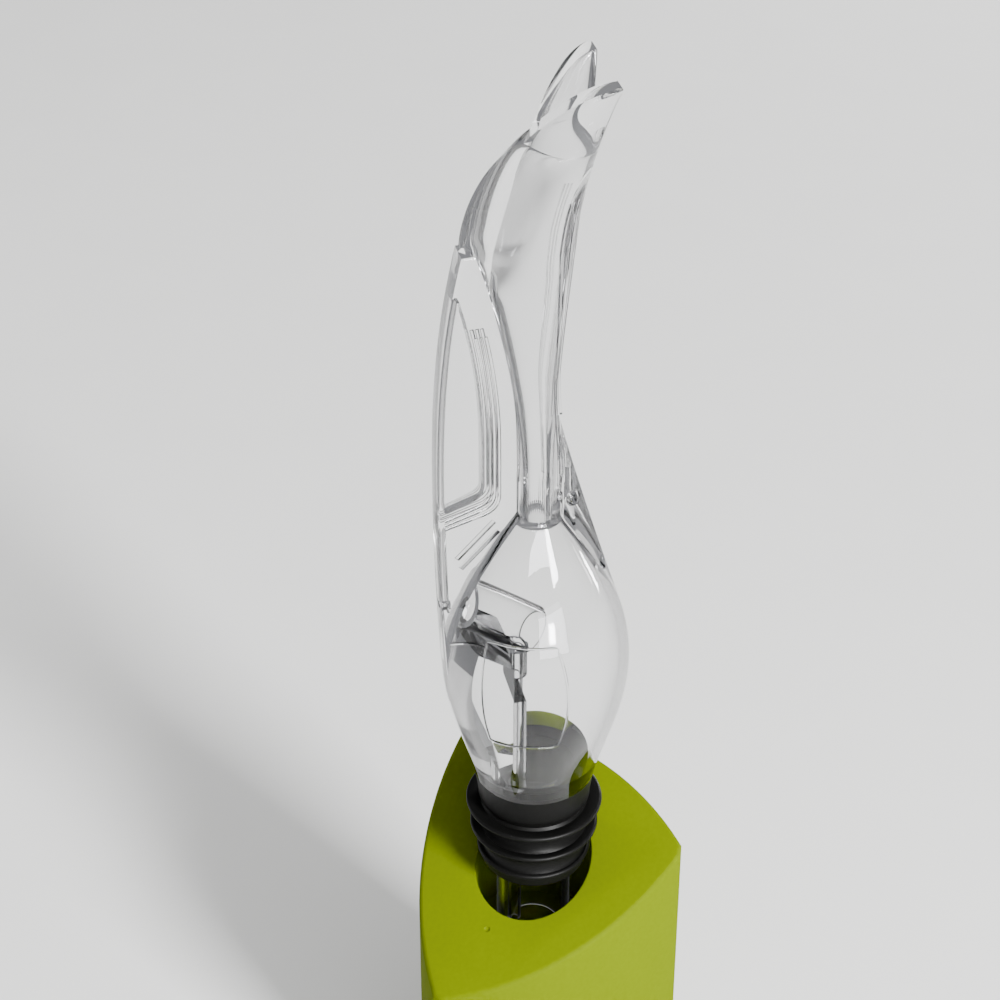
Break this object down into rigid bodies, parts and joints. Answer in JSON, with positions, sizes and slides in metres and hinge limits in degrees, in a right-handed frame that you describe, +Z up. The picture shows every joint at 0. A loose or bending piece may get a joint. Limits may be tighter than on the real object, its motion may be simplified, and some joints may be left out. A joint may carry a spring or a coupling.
{
  "type": "wine aerator pourer",
  "caption": "Clear bulb-shaped wine pourer that draws in air as it pours, with a flanged silicone stopper, standing in its own three-sided stand.",
  "frame": {"origin": "on the table, straight below the pourer's axis", "axes": "+Z up along the pourer's axis, +X towards the side it pours from, -X towards the fin; the pourer is symmetric about the XZ plane"},
  "size_m": [0.0449, 0.0444, 0.2076],
  "materials": {
    "clear_plastic": "polished clear acrylic",
    "silicone": "satin moulded silicone",
    "green_plastic": "glossy moulded plastic",
    "pad_rubber": "matt"
  },
  "bodies": {
    "stand": {"stand_shell": "green_plastic", "stand_base": "green_plastic", "foot_pad": "pad_rubber"},
    "pourer": {"near_shell": "clear_plastic", "far_shell": "clear_plastic", "air_duct": "clear_plastic", "vent_tube": "clear_plastic", "stem": "clear_plastic", "stopper": "silicone"}
  },
  "joints": [
    {"name": "pourer_lift", "type": "slide", "parent": "stand", "child": "pourer", "axis": [0, 0, 1], "range_m": [0, 0.035]}
  ]
}
